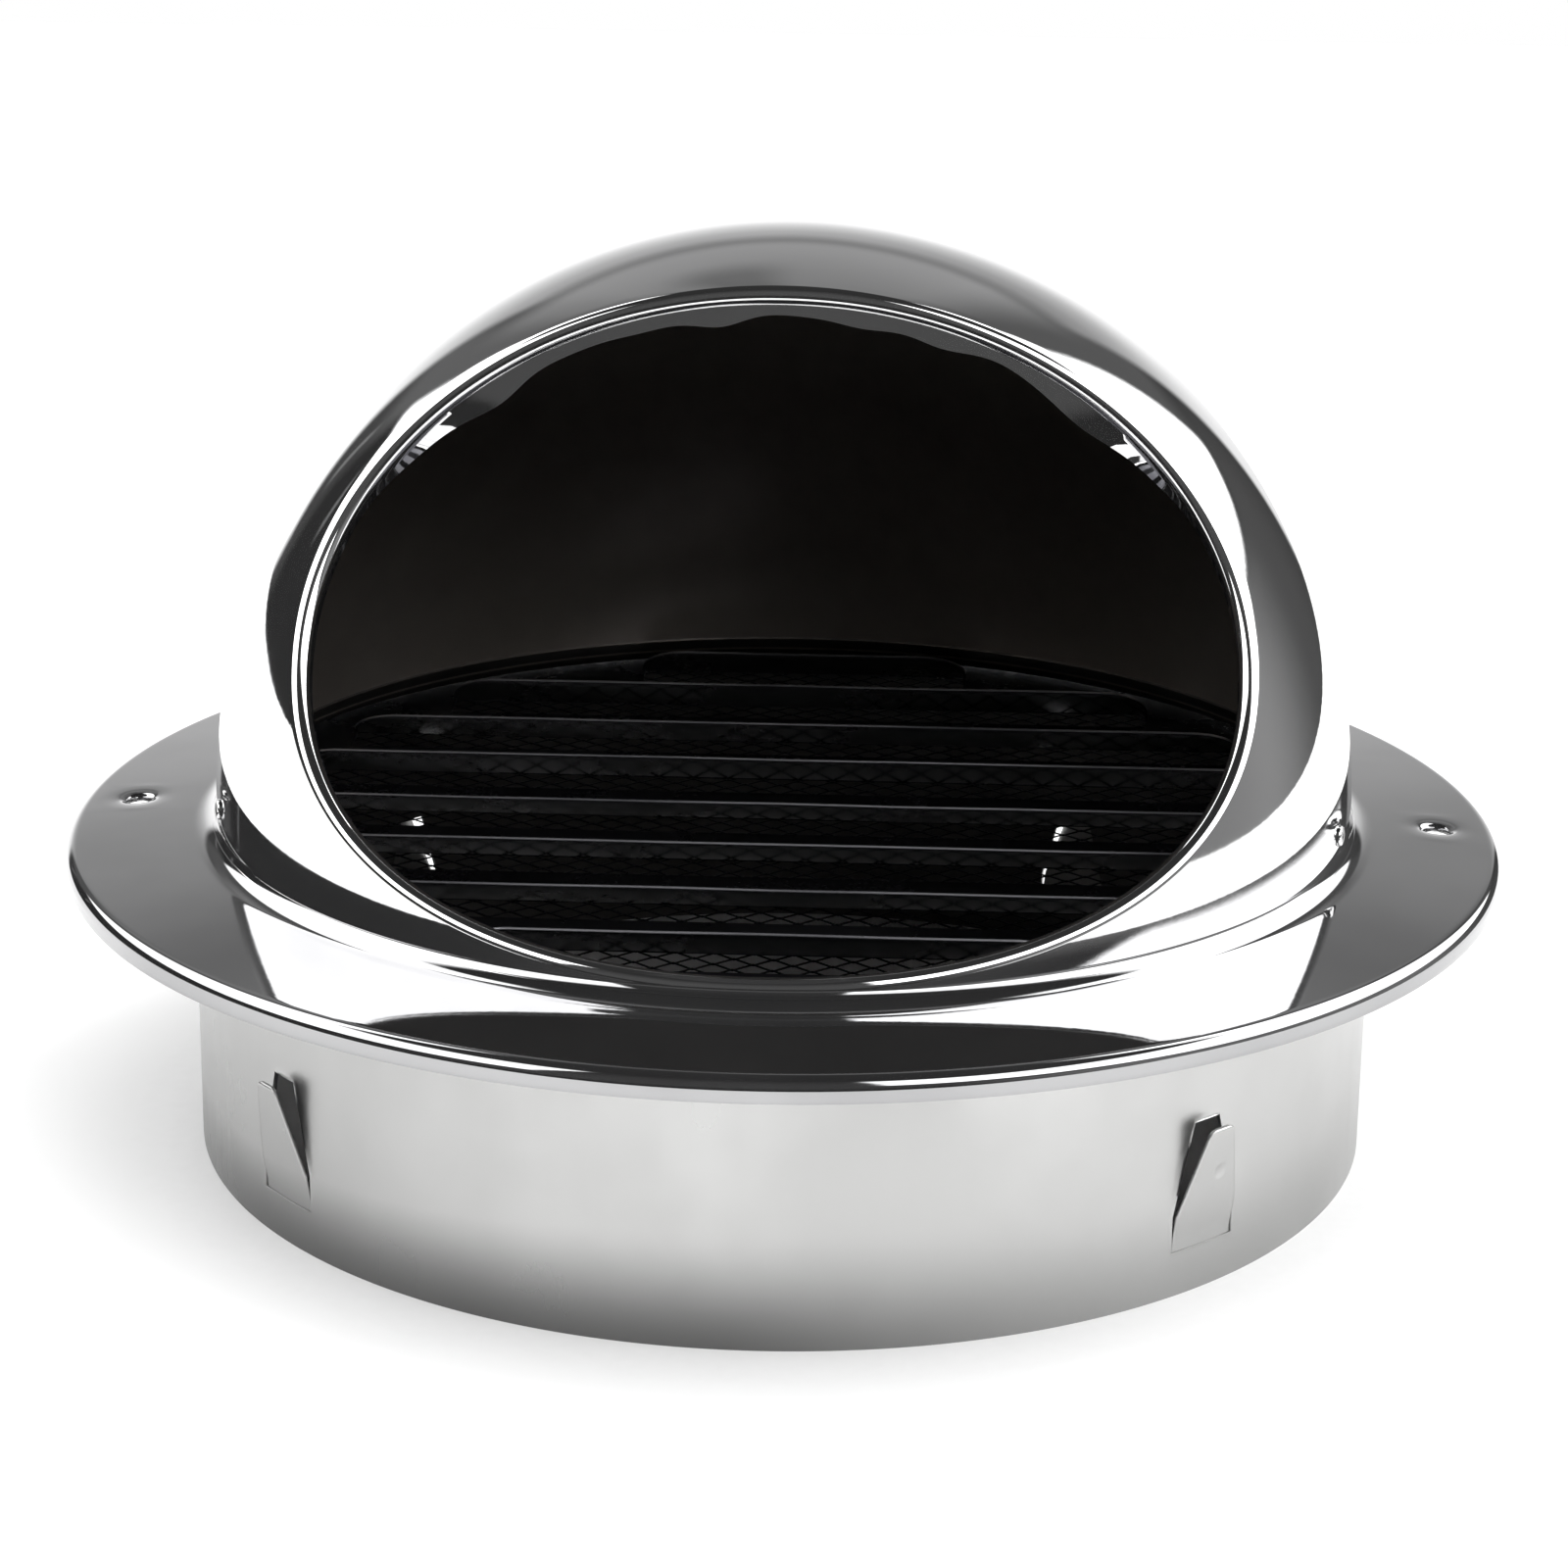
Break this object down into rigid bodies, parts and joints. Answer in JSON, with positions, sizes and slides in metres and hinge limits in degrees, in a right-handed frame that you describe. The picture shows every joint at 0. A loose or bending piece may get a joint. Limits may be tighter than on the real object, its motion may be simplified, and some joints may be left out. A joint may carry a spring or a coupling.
{
  "type": "cowl vent",
  "caption": "Round polished stainless cowl vent: half-ball hood with slanting mouth, rain louvres and screen on a flanged duct sleeve with spring tabs.",
  "frame": {"origin": "centre of the sleeve's free edge, on the sleeve's axis, where the part stands on a surface", "axes": "+Z out of the wall along the sleeve's axis, the hood's mouth faces -Y and up, the screw holes are on X"},
  "size_m": [0.24, 0.24, 0.153],
  "materials": {
    "polished_stainless": "mirror polished stainless steel, satin inside",
    "satin_stainless": "fine satin mill finish",
    "louvre_stainless": "bright rolled sheet",
    "screen_stainless": "bright expanded metal",
    "rivet_steel": "polished"
  },
  "bodies": {
    "vent": {"hood": "polished_stainless", "flange_collar": "polished_stainless", "duct_spigot": "satin_stainless", "louvre_plate": "louvre_stainless", "mesh_screen": "screen_stainless", "spigot_welds": "satin_stainless", "hood_rivet_front_left": "rivet_steel", "hood_rivet_front_right": "rivet_steel", "hood_rivet_rear_left": "rivet_steel", "hood_rivet_rear_right": "rivet_steel"},
    "tab_front_left": {"spring_tab_front_left": "satin_stainless"},
    "tab_front_right": {"spring_tab_front_right": "satin_stainless"},
    "tab_rear_left": {"spring_tab_rear_left": "satin_stainless"},
    "tab_rear_right": {"spring_tab_rear_right": "satin_stainless"}
  },
  "joints": [
    {"name": "tab_front_left_flex", "type": "hinge", "parent": "vent", "child": "tab_front_left", "pos_m": [-0.07517, -0.06443, 0.0075], "axis": [-0.6508, 0.7593, 0], "range_deg": [0, 11], "stiffness_Nm_per_rad": 1.5},
    {"name": "tab_front_right_flex", "type": "hinge", "parent": "vent", "child": "tab_front_right", "pos_m": [0.06852, -0.07145, 0.0075], "axis": [-0.7218, -0.6921, 0], "range_deg": [0, 11], "stiffness_Nm_per_rad": 1.5},
    {"name": "tab_rear_left_flex", "type": "hinge", "parent": "vent", "child": "tab_rear_left", "pos_m": [-0.07299, 0.06688, 0.0075], "axis": [0.6756, 0.7373, 0], "range_deg": [0, 11], "stiffness_Nm_per_rad": 1.5},
    {"name": "tab_rear_right_flex", "type": "hinge", "parent": "vent", "child": "tab_rear_right", "pos_m": [0.05246, 0.08396, 0.0075], "axis": [0.848, -0.5299, 0], "range_deg": [0, 11], "stiffness_Nm_per_rad": 1.5}
  ]
}
